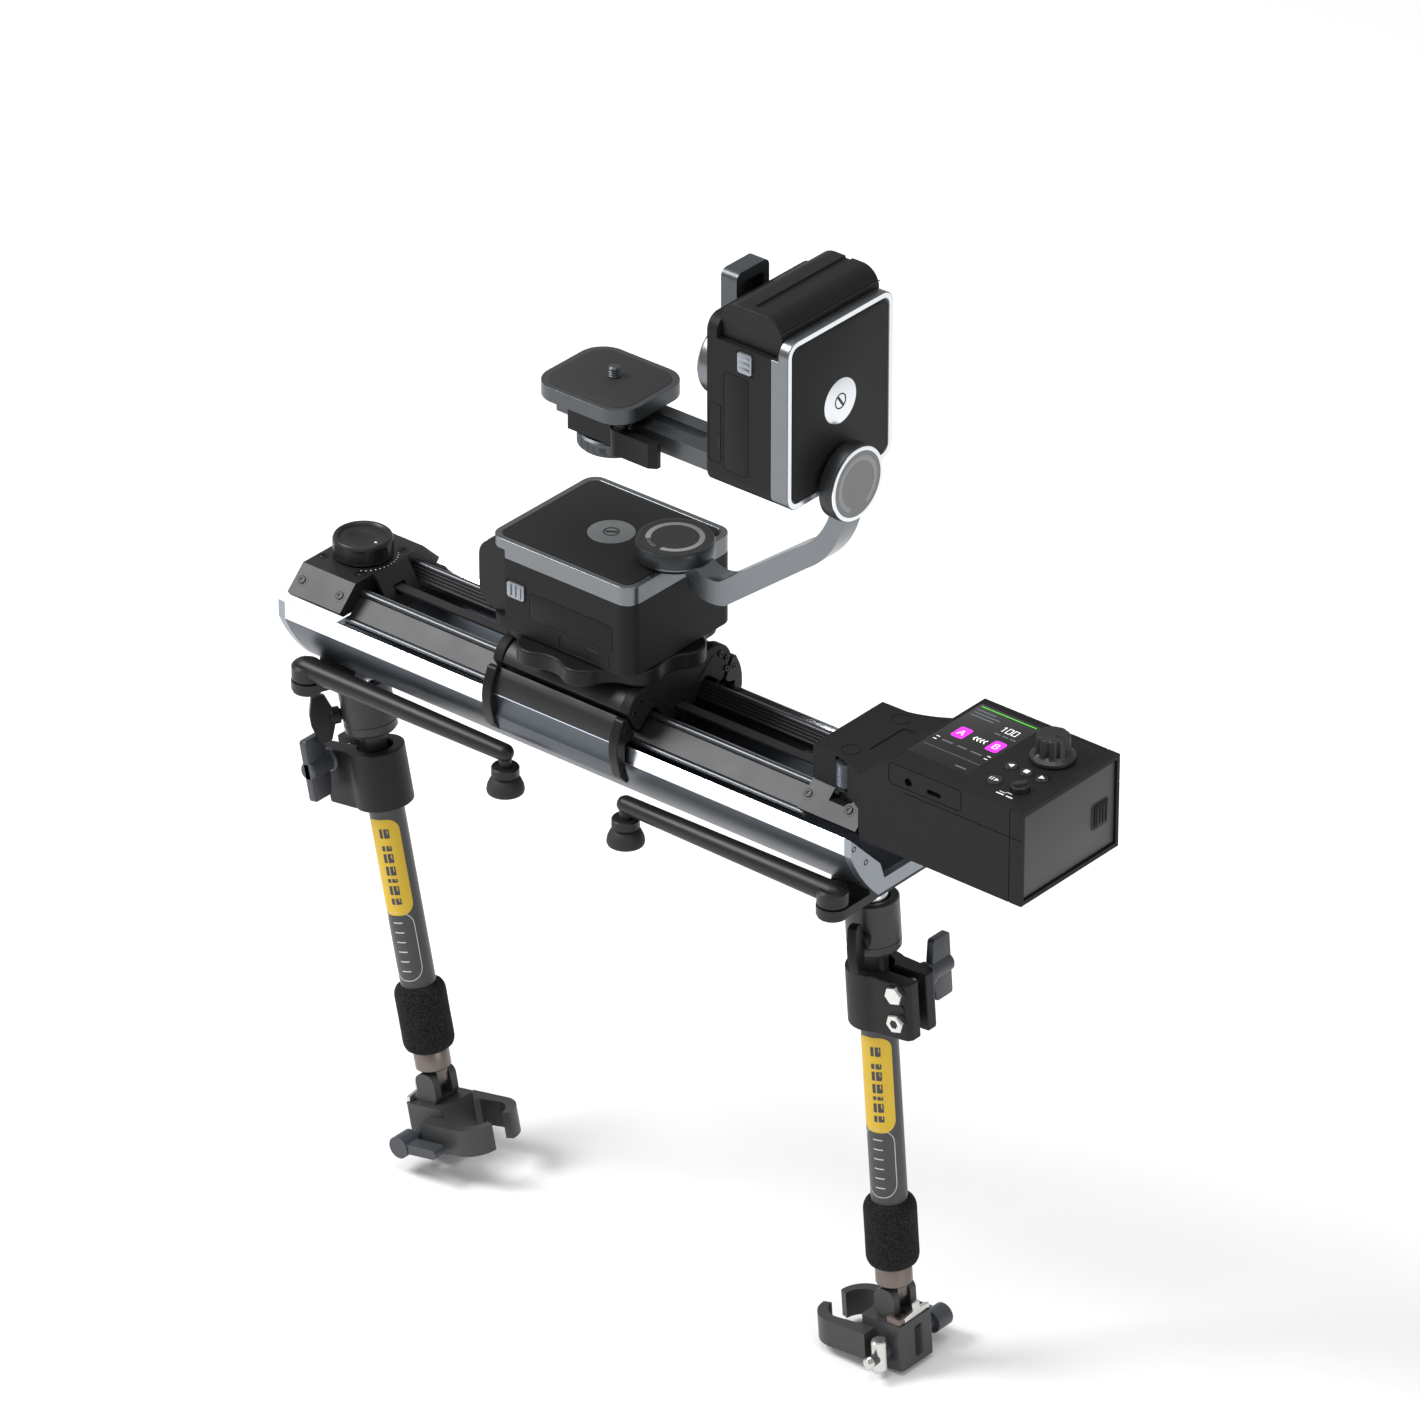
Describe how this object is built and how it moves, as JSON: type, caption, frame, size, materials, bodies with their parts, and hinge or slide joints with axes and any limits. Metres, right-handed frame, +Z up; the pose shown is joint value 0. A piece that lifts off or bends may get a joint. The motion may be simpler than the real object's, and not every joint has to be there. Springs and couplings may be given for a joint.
{
  "type": "camera slider",
  "caption": "Double-distance motorised camera slider with pan and tilt head, fold-out legs and two telescopic rods that brace it to a tripod.",
  "frame": {"origin": "mouth of the tripod socket, centred under the base rail", "axes": "+X along the rails towards the drive, +Y to the rear, +Z up"},
  "size_m": [0.4858, 0.1045, 0.5968],
  "materials": {
    "black_anodised": "black anodised, fine bead blast",
    "grey_anodised": "grey anodised, satin",
    "polished_steel": "polished hard-chromed steel",
    "bare_aluminium": "silver anodised, satin",
    "black_plastic": "moulded black plastic, fine texture",
    "foam": "closed-cell foam sleeve",
    "belt_rubber": "toothed belt",
    "pulley_metal": "turned aluminium",
    "control_plastic": "satin black keys"
  },
  "bodies": {
    "base": {"base_rail": "grey_anodised", "guide_tubes": "polished_steel", "rail_end_plates": "bare_aluminium", "leg_brackets": "black_anodised", "ball_studs": "polished_steel", "centre_fittings": "grey_anodised"},
    "front_left_leg": {"leg_front_left": "black_anodised"},
    "front_right_leg": {"leg_front_right": "black_anodised"},
    "rear_left_leg": {"leg_rear_left": "black_anodised"},
    "rear_right_leg": {"leg_rear_right": "black_anodised"},
    "upper_rail": {"upper_beams": "black_anodised", "guide_rods": "polished_steel", "end_block_left": "black_anodised", "end_block_right": "black_anodised", "grip_core": "black_plastic", "grip_shells": "grey_anodised", "grip_end_caps": "black_plastic", "drive_belt": "belt_rubber", "drive_housing": "black_plastic", "drive_top_cover": "black_plastic"},
    "drag_control": {"drag_knob": "black_anodised"},
    "encoder": {"encoder_knob": "black_plastic"},
    "back_key": {"button_back": "control_plastic"},
    "stop_key": {"button_stop": "control_plastic"},
    "forward_key": {"button_forward": "control_plastic"},
    "start_key": {"button_start": "control_plastic"},
    "mode_control": {"mode_dial": "control_plastic"},
    "side_wheel": {"thumbwheel": "grey_anodised"},
    "belt_pulley": {"drive_pulley": "pulley_metal"},
    "belt_idler": {"idler_pulley": "pulley_metal"},
    "carriage": {"carriage_plate": "black_anodised", "carriage_covers": "black_anodised", "carriage_end_plates": "black_plastic"},
    "pan_release": {"pan_base_knob": "black_plastic"},
    "pan_head": {"pan_body": "black_plastic", "pan_rim": "bare_aluminium", "pan_battery": "black_plastic"},
    "arm": {"tilt_arm": "bare_aluminium"},
    "tilt_head": {"tilt_body": "black_plastic", "tilt_rim": "bare_aluminium", "tilt_battery": "black_plastic"},
    "bracket": {"camera_bracket": "grey_anodised"},
    "bracket_release": {"bracket_knob": "black_plastic"},
    "clamp": {"camera_clamp": "black_anodised"},
    "clamp_handle": {"clamp_lever": "black_plastic"},
    "screw_wheel": {"camera_screw": "grey_anodised"},
    "rod_head_left": {"support_head_left": "black_anodised"},
    "head_lock_left": {"head_knob_left": "black_plastic"},
    "rod_left": {"support_tube_left": "grey_anodised", "foam_grip_left": "foam"},
    "collar_lock_left": {"collar_knob_left": "black_plastic"},
    "leg_grip_left": {"leg_clamp_left": "black_anodised"},
    "grip_screw_left": {"clamp_screw_left": "grey_anodised"},
    "rod_head_right": {"support_head_right": "black_anodised"},
    "head_lock_right": {"head_knob_right": "black_plastic"},
    "rod_right": {"support_tube_right": "grey_anodised", "foam_grip_right": "foam"},
    "collar_lock_right": {"collar_knob_right": "black_plastic"},
    "leg_grip_right": {"leg_clamp_right": "black_anodised"},
    "grip_screw_right": {"clamp_screw_right": "grey_anodised"}
  },
  "joints": [
    {"name": "rail_slide", "type": "slide", "parent": "base", "child": "upper_rail", "axis": [1, 0, 0], "range_m": [-0.09, 0.09]},
    {"name": "carriage_slide", "type": "slide", "parent": "upper_rail", "child": "carriage", "axis": [1, 0, 0], "range_m": [-0.09, 0.09]},
    {"name": "drive_pulley_spin", "type": "hinge", "parent": "upper_rail", "child": "belt_pulley", "pos_m": [0.1685, 0, 0.0405], "axis": [0, 1, 0], "range_deg": [-800, 800]},
    {"name": "idler_pulley_spin", "type": "hinge", "parent": "upper_rail", "child": "belt_idler", "pos_m": [-0.165, 0, 0.0405], "axis": [0, 1, 0], "range_deg": [-800, 800]},
    {"name": "leg_fold_front_left", "type": "hinge", "parent": "base", "child": "front_left_leg", "pos_m": [-0.175, -0.037, 0.0036], "axis": [0, 0, 1], "range_deg": [-110, 0]},
    {"name": "leg_fold_front_right", "type": "hinge", "parent": "base", "child": "front_right_leg", "pos_m": [0.175, -0.037, 0.0036], "axis": [0, 0, 1], "range_deg": [0, 110]},
    {"name": "leg_fold_rear_left", "type": "hinge", "parent": "base", "child": "rear_left_leg", "pos_m": [-0.175, 0.037, 0.0036], "axis": [0, 0, 1], "range_deg": [0, 110]},
    {"name": "leg_fold_rear_right", "type": "hinge", "parent": "base", "child": "rear_right_leg", "pos_m": [0.175, 0.037, 0.0036], "axis": [0, 0, 1], "range_deg": [-110, 0]},
    {"name": "drag_knob_turn", "type": "hinge", "parent": "upper_rail", "child": "drag_control", "pos_m": [-0.168, 0, 0.063], "axis": [0, 0, 1], "range_deg": [-135, 135]},
    {"name": "encoder_turn", "type": "hinge", "parent": "upper_rail", "child": "encoder", "pos_m": [0.2724, 0.0138, 0.1], "axis": [0, 0, 1], "continuous": true},
    {"name": "back_key_press", "type": "slide", "parent": "upper_rail", "child": "back_key", "axis": [0, 0, -1], "range_m": [0, 0.0005], "stiffness_N_per_m": 600},
    {"name": "stop_key_press", "type": "slide", "parent": "upper_rail", "child": "stop_key", "axis": [0, 0, -1], "range_m": [0, 0.0005], "stiffness_N_per_m": 600},
    {"name": "forward_key_press", "type": "slide", "parent": "upper_rail", "child": "forward_key", "axis": [0, 0, -1], "range_m": [0, 0.0005], "stiffness_N_per_m": 600},
    {"name": "start_key_press", "type": "slide", "parent": "upper_rail", "child": "start_key", "axis": [0, 0, -1], "range_m": [0, 0.0005], "stiffness_N_per_m": 600},
    {"name": "mode_turn", "type": "hinge", "parent": "upper_rail", "child": "mode_control", "pos_m": [0.279, -0.0204, 0.092], "axis": [0, 0, 1], "range_deg": [-60, 60]},
    {"name": "side_wheel_turn", "type": "hinge", "parent": "upper_rail", "child": "side_wheel", "pos_m": [0.1746, -0.0262, 0.068], "axis": [0, 0, 1], "continuous": true},
    {"name": "pan_release_turn", "type": "hinge", "parent": "carriage", "child": "pan_release", "pos_m": [0, 0, 0.074], "axis": [0, 0, 1], "range_deg": [0, 45]},
    {"name": "pan", "type": "hinge", "parent": "carriage", "child": "pan_head", "pos_m": [0, 0, 0.0796], "axis": [0, 0, 1], "continuous": true},
    {"name": "arm_swing", "type": "hinge", "parent": "pan_head", "child": "arm", "pos_m": [0.042, 0, 0.136], "axis": [0, 0, 1], "range_deg": [-35, 35]},
    {"name": "tilt_head_lean", "type": "hinge", "parent": "arm", "child": "tilt_head", "pos_m": [0.15, 0, 0.2141], "axis": [1, 0, 0], "range_deg": [-45, 45]},
    {"name": "tilt", "type": "hinge", "parent": "tilt_head", "child": "bracket", "pos_m": [0.092, 0, 0.2564], "axis": [1, 0, 0], "range_deg": [-90, 90]},
    {"name": "bracket_release_turn", "type": "hinge", "parent": "bracket", "child": "bracket_release", "pos_m": [0.076, 0, 0.2564], "axis": [1, 0, 0], "range_deg": [-60, 60]},
    {"name": "clamp_slide", "type": "slide", "parent": "bracket", "child": "clamp", "axis": [1, 0, 0], "range_m": [-0.016, 0.03]},
    {"name": "clamp_lever_swing", "type": "hinge", "parent": "clamp", "child": "clamp_handle", "pos_m": [0.0225, -0.02, 0.2], "axis": [0, 0, 1], "range_deg": [-90, 0]},
    {"name": "camera_screw_turn", "type": "hinge", "parent": "clamp", "child": "screw_wheel", "pos_m": [0.0025, 0, 0.187], "axis": [0, 0, 1], "continuous": true},
    {"name": "rod_lean_left", "type": "hinge", "parent": "base", "child": "rod_head_left", "pos_m": [-0.17, 0, -0.017], "axis": [0, 1, 0], "range_deg": [-20, 20]},
    {"name": "head_lock_turn_left", "type": "hinge", "parent": "rod_head_left", "child": "head_lock_left", "pos_m": [-0.17285, -0.00766, -0.03495], "axis": [-0.6294, -0.766, -0.1303], "range_deg": [-90, 90]},
    {"name": "rod_extend_left", "type": "slide", "parent": "rod_head_left", "child": "rod_left", "axis": [0.2028, 0, -0.9792], "range_m": [0, 0.09]},
    {"name": "collar_lock_turn_left", "type": "hinge", "parent": "rod_left", "child": "collar_lock_left", "pos_m": [-0.18262, 0, -0.06455], "axis": [0, -1, 0], "range_deg": [-90, 90]},
    {"name": "leg_grip_swivel_left", "type": "hinge", "parent": "rod_left", "child": "leg_grip_left", "pos_m": [-0.12328, 0, -0.24261], "axis": [0, -1, 0], "range_deg": [-60, 60]},
    {"name": "grip_screw_turn_left", "type": "hinge", "parent": "leg_grip_left", "child": "grip_screw_left", "pos_m": [-0.1218, 0, -0.26947], "axis": [0, -1, 0], "continuous": true},
    {"name": "rod_lean_right", "type": "hinge", "parent": "base", "child": "rod_head_right", "pos_m": [0.17, 0, -0.017], "axis": [0, 1, 0], "range_deg": [-20, 20]},
    {"name": "head_lock_turn_right", "type": "hinge", "parent": "rod_head_right", "child": "head_lock_right", "pos_m": [0.17439, -0.00951, -0.03371], "axis": [0.3081, -0.9511, 0.0237], "range_deg": [-90, 90]},
    {"name": "rod_extend_right", "type": "slide", "parent": "rod_head_right", "child": "rod_right", "axis": [0.0767, 0, -0.9971], "range_m": [0, 0.09]},
    {"name": "collar_lock_turn_right", "type": "hinge", "parent": "rod_right", "child": "collar_lock_right", "pos_m": [0.19531, 0, -0.05918], "axis": [0, 1, 0], "range_deg": [-90, 90]},
    {"name": "leg_grip_swivel_right", "type": "hinge", "parent": "rod_right", "child": "leg_grip_right", "pos_m": [0.18768, 0, -0.24672], "axis": [0, 1, 0], "range_deg": [-60, 60]},
    {"name": "grip_screw_turn_right", "type": "hinge", "parent": "leg_grip_right", "child": "grip_screw_right", "pos_m": [0.1937, 0, -0.27294], "axis": [0, 1, 0], "continuous": true}
  ],
  "couplings": [
    {"joint": "carriage_slide", "follows": "rail_slide", "ratio": 1},
    {"joint": "drive_pulley_spin", "follows": "rail_slide", "rad_per_m": 153.85},
    {"joint": "idler_pulley_spin", "follows": "rail_slide", "rad_per_m": 153.85}
  ]
}
